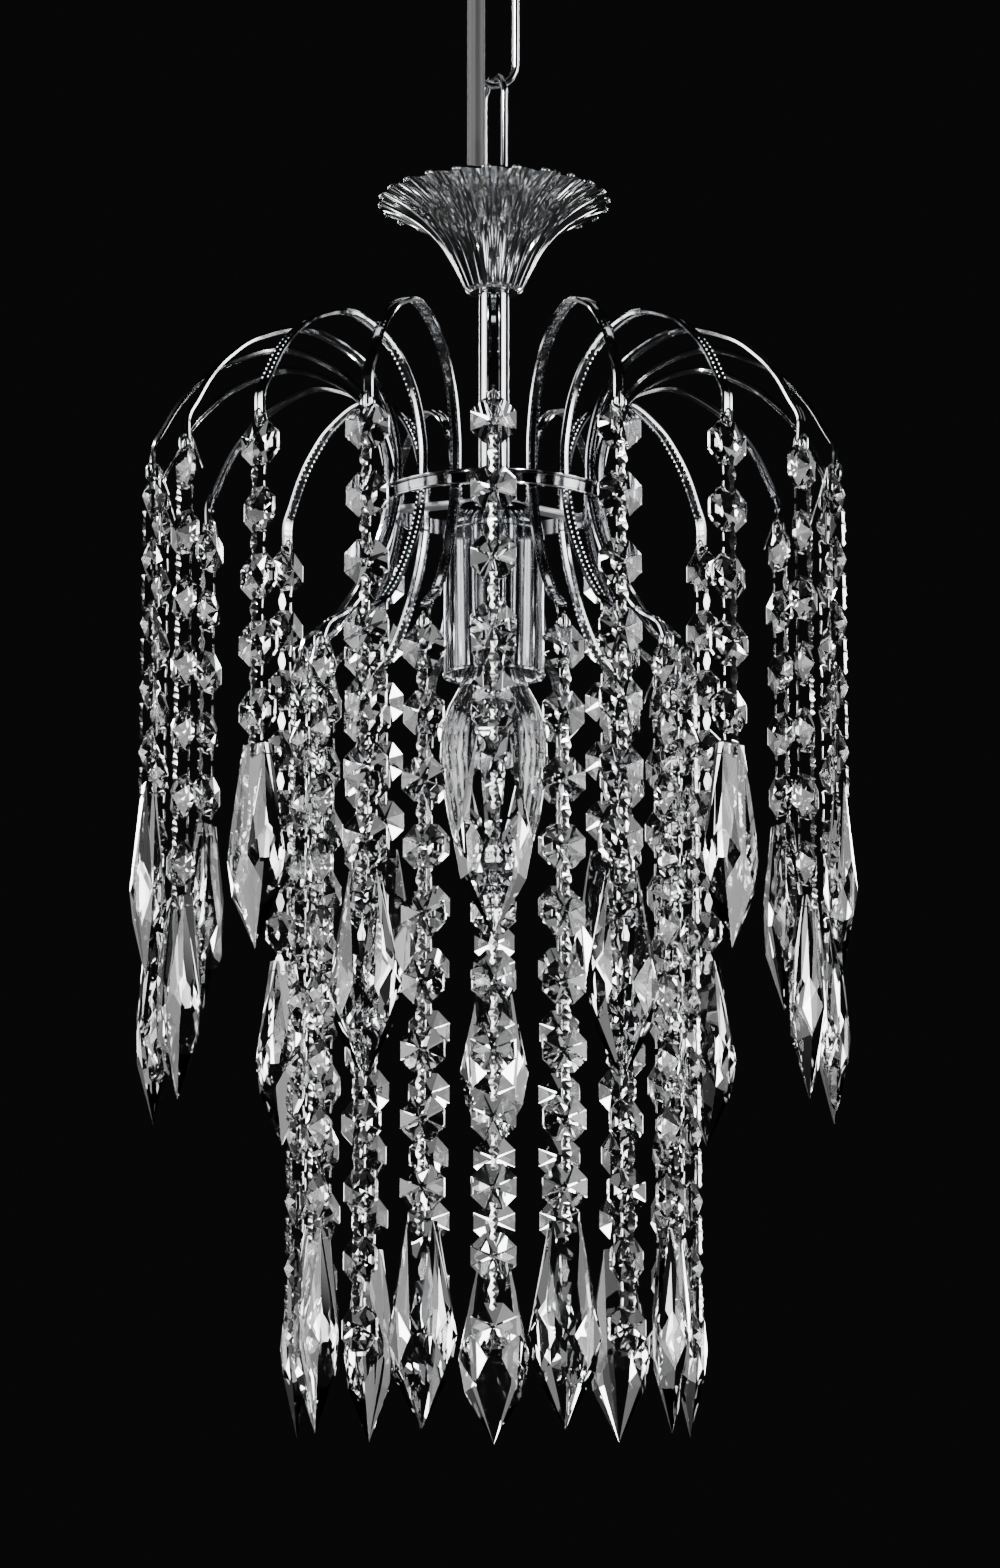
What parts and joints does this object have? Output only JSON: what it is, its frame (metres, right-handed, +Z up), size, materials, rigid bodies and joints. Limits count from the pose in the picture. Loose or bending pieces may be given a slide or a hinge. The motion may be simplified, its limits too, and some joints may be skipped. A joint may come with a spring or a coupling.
{
  "type": "crystal pendant chandelier",
  "caption": "Small waterfall crystal pendant: a chained ring of curled arms hung with strands of octagon beads and icicle drops around one candle lamp.",
  "frame": {"origin": "centre of the ceiling plate's top face, against the ceiling", "axes": "+Z up into the ceiling, -Y towards the viewer, +X to the viewer's right"},
  "size_m": [0.2334, 0.237, 0.5182],
  "materials": {
    "chrome": "polished",
    "zinc_steel": "plain zinc",
    "crystal": "clear, faceted",
    "lamp_glass": "clear",
    "nickel_cap": "satin",
    "grey_flex": "satin",
    "black_plastic": "matt"
  },
  "bodies": {
    "ceiling": {"ceiling_plate": "chrome", "ceiling_hook": "chrome", "ceiling_grommet": "black_plastic", "flex": "grey_flex"},
    "upper_link": {"chain_link_upper": "chrome"},
    "lower_link": {"chain_link_lower": "chrome"},
    "pendant": {"canopy_cup": "chrome", "top_collar": "zinc_steel", "suspension_eye": "zinc_steel", "cord_grip": "black_plastic", "stem_tube": "chrome", "stem_lead": "black_plastic", "arm_spray": "chrome", "ring_spider": "zinc_steel", "lamp_cup": "chrome", "stem_locknut": "zinc_steel", "lampholder": "black_plastic"},
    "lamp": {"lamp_cap": "nickel_cap", "lamp_glass": "lamp_glass"},
    "upper_strand_00": {"upper_strand_00": "crystal"},
    "upper_strand_01": {"upper_strand_01": "crystal"},
    "upper_strand_02": {"upper_strand_02": "crystal"},
    "upper_strand_03": {"upper_strand_03": "crystal"},
    "upper_strand_04": {"upper_strand_04": "crystal"},
    "upper_strand_05": {"upper_strand_05": "crystal"},
    "upper_strand_06": {"upper_strand_06": "crystal"},
    "upper_strand_07": {"upper_strand_07": "crystal"},
    "upper_strand_08": {"upper_strand_08": "crystal"},
    "upper_strand_09": {"upper_strand_09": "crystal"},
    "upper_strand_10": {"upper_strand_10": "crystal"},
    "upper_strand_11": {"upper_strand_11": "crystal"},
    "upper_strand_12": {"upper_strand_12": "crystal"},
    "upper_strand_13": {"upper_strand_13": "crystal"},
    "upper_strand_14": {"upper_strand_14": "crystal"},
    "upper_strand_15": {"upper_strand_15": "crystal"},
    "upper_strand_16": {"upper_strand_16": "crystal"},
    "upper_strand_17": {"upper_strand_17": "crystal"},
    "lower_strand_00": {"lower_strand_00": "crystal"},
    "lower_strand_01": {"lower_strand_01": "crystal"},
    "lower_strand_02": {"lower_strand_02": "crystal"},
    "lower_strand_03": {"lower_strand_03": "crystal"},
    "lower_strand_04": {"lower_strand_04": "crystal"},
    "lower_strand_05": {"lower_strand_05": "crystal"},
    "lower_strand_06": {"lower_strand_06": "crystal"},
    "lower_strand_07": {"lower_strand_07": "crystal"},
    "lower_strand_08": {"lower_strand_08": "crystal"},
    "lower_strand_09": {"lower_strand_09": "crystal"},
    "lower_strand_10": {"lower_strand_10": "crystal"},
    "lower_strand_11": {"lower_strand_11": "crystal"},
    "lower_strand_12": {"lower_strand_12": "crystal"},
    "lower_strand_13": {"lower_strand_13": "crystal"},
    "lower_strand_14": {"lower_strand_14": "crystal"},
    "lower_strand_15": {"lower_strand_15": "crystal"},
    "lower_strand_16": {"lower_strand_16": "crystal"},
    "lower_strand_17": {"lower_strand_17": "crystal"}
  },
  "joints": [
    {"name": "upper_link_swing", "type": "hinge", "parent": "ceiling", "child": "upper_link", "pos_m": [0, 0, -0.0309], "axis": [0, 1, 0], "range_deg": [-15, 15]},
    {"name": "lower_link_swing", "type": "hinge", "parent": "upper_link", "child": "lower_link", "pos_m": [0, 0, -0.0675], "axis": [1, 0, 0], "range_deg": [-15, 15]},
    {"name": "pendant_swing", "type": "hinge", "parent": "lower_link", "child": "pendant", "pos_m": [0, 0, -0.1044], "axis": [0.4695, -0.8829, 0], "range_deg": [-15, 15], "deforming": ["flex"]},
    {"name": "lamp_unscrew", "type": "slide", "parent": "pendant", "child": "lamp", "axis": [0, 0, -1], "range_m": [0, 0.026]},
    {"name": "upper_strand_00_swing", "type": "hinge", "parent": "pendant", "child": "upper_strand_00", "pos_m": [0, -0.113, -0.204], "axis": [-1, 0, 0], "range_deg": [-8, 25]},
    {"name": "upper_strand_01_swing", "type": "hinge", "parent": "pendant", "child": "upper_strand_01", "pos_m": [0.03865, -0.10619, -0.204], "axis": [-0.9397, -0.342, 0], "range_deg": [-8, 25]},
    {"name": "upper_strand_02_swing", "type": "hinge", "parent": "pendant", "child": "upper_strand_02", "pos_m": [0.07264, -0.08656, -0.204], "axis": [-0.766, -0.6428, 0], "range_deg": [-8, 25]},
    {"name": "upper_strand_03_swing", "type": "hinge", "parent": "pendant", "child": "upper_strand_03", "pos_m": [0.09786, -0.0565, -0.204], "axis": [-0.5, -0.866, 0], "range_deg": [-8, 25]},
    {"name": "upper_strand_04_swing", "type": "hinge", "parent": "pendant", "child": "upper_strand_04", "pos_m": [0.11128, -0.01962, -0.204], "axis": [-0.1736, -0.9848, 0], "range_deg": [-8, 25]},
    {"name": "upper_strand_05_swing", "type": "hinge", "parent": "pendant", "child": "upper_strand_05", "pos_m": [0.11128, 0.01962, -0.204], "axis": [0.1736, -0.9848, 0], "range_deg": [-8, 25]},
    {"name": "upper_strand_06_swing", "type": "hinge", "parent": "pendant", "child": "upper_strand_06", "pos_m": [0.09786, 0.0565, -0.204], "axis": [0.5, -0.866, 0], "range_deg": [-8, 25]},
    {"name": "upper_strand_07_swing", "type": "hinge", "parent": "pendant", "child": "upper_strand_07", "pos_m": [0.07264, 0.08656, -0.204], "axis": [0.766, -0.6428, 0], "range_deg": [-8, 25]},
    {"name": "upper_strand_08_swing", "type": "hinge", "parent": "pendant", "child": "upper_strand_08", "pos_m": [0.03865, 0.10619, -0.204], "axis": [0.9397, -0.342, 0], "range_deg": [-8, 25]},
    {"name": "upper_strand_09_swing", "type": "hinge", "parent": "pendant", "child": "upper_strand_09", "pos_m": [0, 0.113, -0.204], "axis": [1, 0, 0], "range_deg": [-8, 25]},
    {"name": "upper_strand_10_swing", "type": "hinge", "parent": "pendant", "child": "upper_strand_10", "pos_m": [-0.03865, 0.10619, -0.204], "axis": [0.9397, 0.342, 0], "range_deg": [-8, 25]},
    {"name": "upper_strand_11_swing", "type": "hinge", "parent": "pendant", "child": "upper_strand_11", "pos_m": [-0.07264, 0.08656, -0.204], "axis": [0.766, 0.6428, 0], "range_deg": [-8, 25]},
    {"name": "upper_strand_12_swing", "type": "hinge", "parent": "pendant", "child": "upper_strand_12", "pos_m": [-0.09786, 0.0565, -0.204], "axis": [0.5, 0.866, 0], "range_deg": [-8, 25]},
    {"name": "upper_strand_13_swing", "type": "hinge", "parent": "pendant", "child": "upper_strand_13", "pos_m": [-0.11128, 0.01962, -0.204], "axis": [0.1736, 0.9848, 0], "range_deg": [-8, 25]},
    {"name": "upper_strand_14_swing", "type": "hinge", "parent": "pendant", "child": "upper_strand_14", "pos_m": [-0.11128, -0.01962, -0.204], "axis": [-0.1736, 0.9848, 0], "range_deg": [-8, 25]},
    {"name": "upper_strand_15_swing", "type": "hinge", "parent": "pendant", "child": "upper_strand_15", "pos_m": [-0.09786, -0.0565, -0.204], "axis": [-0.5, 0.866, 0], "range_deg": [-8, 25]},
    {"name": "upper_strand_16_swing", "type": "hinge", "parent": "pendant", "child": "upper_strand_16", "pos_m": [-0.07264, -0.08656, -0.204], "axis": [-0.766, 0.6428, 0], "range_deg": [-8, 25]},
    {"name": "upper_strand_17_swing", "type": "hinge", "parent": "pendant", "child": "upper_strand_17", "pos_m": [-0.03865, -0.10619, -0.204], "axis": [-0.9397, 0.342, 0], "range_deg": [-8, 25]},
    {"name": "lower_strand_00_swing", "type": "hinge", "parent": "pendant", "child": "lower_strand_00", "pos_m": [0, -0.0641, -0.263], "axis": [-1, 0, 0], "range_deg": [-2, 12]},
    {"name": "lower_strand_01_swing", "type": "hinge", "parent": "pendant", "child": "lower_strand_01", "pos_m": [0.02192, -0.06023, -0.263], "axis": [-0.9397, -0.342, 0], "range_deg": [-2, 12]},
    {"name": "lower_strand_02_swing", "type": "hinge", "parent": "pendant", "child": "lower_strand_02", "pos_m": [0.0412, -0.0491, -0.263], "axis": [-0.766, -0.6428, 0], "range_deg": [-2, 12]},
    {"name": "lower_strand_03_swing", "type": "hinge", "parent": "pendant", "child": "lower_strand_03", "pos_m": [0.05551, -0.03205, -0.263], "axis": [-0.5, -0.866, 0], "range_deg": [-2, 12]},
    {"name": "lower_strand_04_swing", "type": "hinge", "parent": "pendant", "child": "lower_strand_04", "pos_m": [0.06313, -0.01113, -0.263], "axis": [-0.1736, -0.9848, 0], "range_deg": [-2, 12]},
    {"name": "lower_strand_05_swing", "type": "hinge", "parent": "pendant", "child": "lower_strand_05", "pos_m": [0.06313, 0.01113, -0.263], "axis": [0.1736, -0.9848, 0], "range_deg": [-2, 12]},
    {"name": "lower_strand_06_swing", "type": "hinge", "parent": "pendant", "child": "lower_strand_06", "pos_m": [0.05551, 0.03205, -0.263], "axis": [0.5, -0.866, 0], "range_deg": [-2, 12]},
    {"name": "lower_strand_07_swing", "type": "hinge", "parent": "pendant", "child": "lower_strand_07", "pos_m": [0.0412, 0.0491, -0.263], "axis": [0.766, -0.6428, 0], "range_deg": [-2, 12]},
    {"name": "lower_strand_08_swing", "type": "hinge", "parent": "pendant", "child": "lower_strand_08", "pos_m": [0.02192, 0.06023, -0.263], "axis": [0.9397, -0.342, 0], "range_deg": [-2, 12]},
    {"name": "lower_strand_09_swing", "type": "hinge", "parent": "pendant", "child": "lower_strand_09", "pos_m": [0, 0.0641, -0.263], "axis": [1, 0, 0], "range_deg": [-2, 12]},
    {"name": "lower_strand_10_swing", "type": "hinge", "parent": "pendant", "child": "lower_strand_10", "pos_m": [-0.02192, 0.06023, -0.263], "axis": [0.9397, 0.342, 0], "range_deg": [-2, 12]},
    {"name": "lower_strand_11_swing", "type": "hinge", "parent": "pendant", "child": "lower_strand_11", "pos_m": [-0.0412, 0.0491, -0.263], "axis": [0.766, 0.6428, 0], "range_deg": [-2, 12]},
    {"name": "lower_strand_12_swing", "type": "hinge", "parent": "pendant", "child": "lower_strand_12", "pos_m": [-0.05551, 0.03205, -0.263], "axis": [0.5, 0.866, 0], "range_deg": [-2, 12]},
    {"name": "lower_strand_13_swing", "type": "hinge", "parent": "pendant", "child": "lower_strand_13", "pos_m": [-0.06313, 0.01113, -0.263], "axis": [0.1736, 0.9848, 0], "range_deg": [-2, 12]},
    {"name": "lower_strand_14_swing", "type": "hinge", "parent": "pendant", "child": "lower_strand_14", "pos_m": [-0.06313, -0.01113, -0.263], "axis": [-0.1736, 0.9848, 0], "range_deg": [-2, 12]},
    {"name": "lower_strand_15_swing", "type": "hinge", "parent": "pendant", "child": "lower_strand_15", "pos_m": [-0.05551, -0.03205, -0.263], "axis": [-0.5, 0.866, 0], "range_deg": [-2, 12]},
    {"name": "lower_strand_16_swing", "type": "hinge", "parent": "pendant", "child": "lower_strand_16", "pos_m": [-0.0412, -0.0491, -0.263], "axis": [-0.766, 0.6428, 0], "range_deg": [-2, 12]},
    {"name": "lower_strand_17_swing", "type": "hinge", "parent": "pendant", "child": "lower_strand_17", "pos_m": [-0.02192, -0.06023, -0.263], "axis": [-0.9397, 0.342, 0], "range_deg": [-2, 12]}
  ]
}
